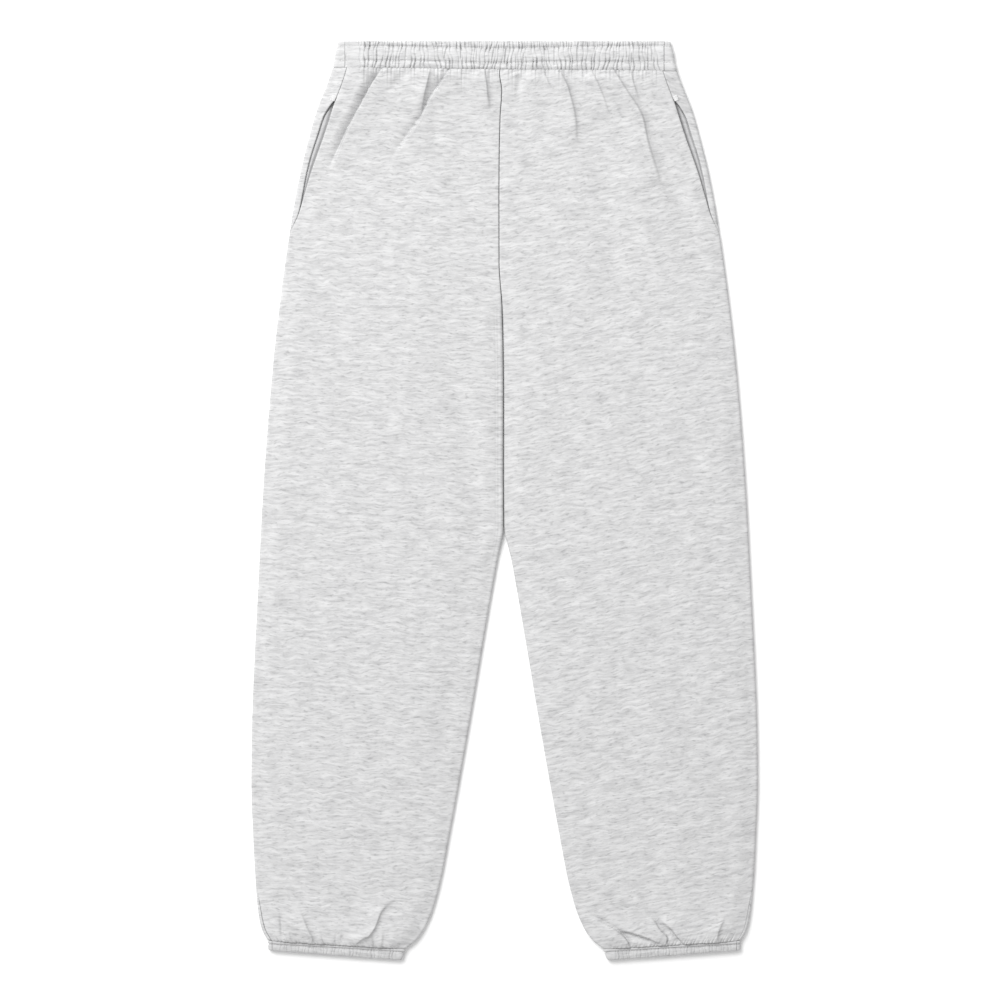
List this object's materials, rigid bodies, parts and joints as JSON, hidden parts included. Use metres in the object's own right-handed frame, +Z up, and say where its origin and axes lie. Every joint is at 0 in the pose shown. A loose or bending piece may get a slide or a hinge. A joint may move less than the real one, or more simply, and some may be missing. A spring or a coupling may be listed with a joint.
{
  "type": "jogger sweatpants",
  "caption": "Fleece jogger trousers lying flat, front up, with gathered elastic waistband, slanted side pockets and gathered hem cuffs.",
  "frame": {"origin": "bottom centre of the bounding box, on the surface that the garment lies on", "axes": "+Y from the hems towards the waist, +Z up from the surface to the front of the garment, +X towards the wearer's left"},
  "size_m": [0.5679, 1.0296, 0.0115],
  "materials": {
    "fleece": "matte brushed fleece, light heather grey",
    "gathered_fleece": "matte brushed fleece gathered over elastic",
    "pocket_cloth": "matte light grey pocket cloth"
  },
  "bodies": {
    "root": {"waistband_front": "gathered_fleece", "waistband_back": "gathered_fleece", "front_panel_right": "fleece", "front_panel_left": "fleece", "back_panel_right": "fleece", "back_panel_left": "fleece", "pocket_facing_right": "pocket_cloth", "pocket_facing_left": "pocket_cloth", "cuff_front_right": "gathered_fleece", "cuff_back_right": "gathered_fleece", "cuff_front_left": "gathered_fleece", "cuff_back_left": "gathered_fleece"}
  },
  "joints": []
}
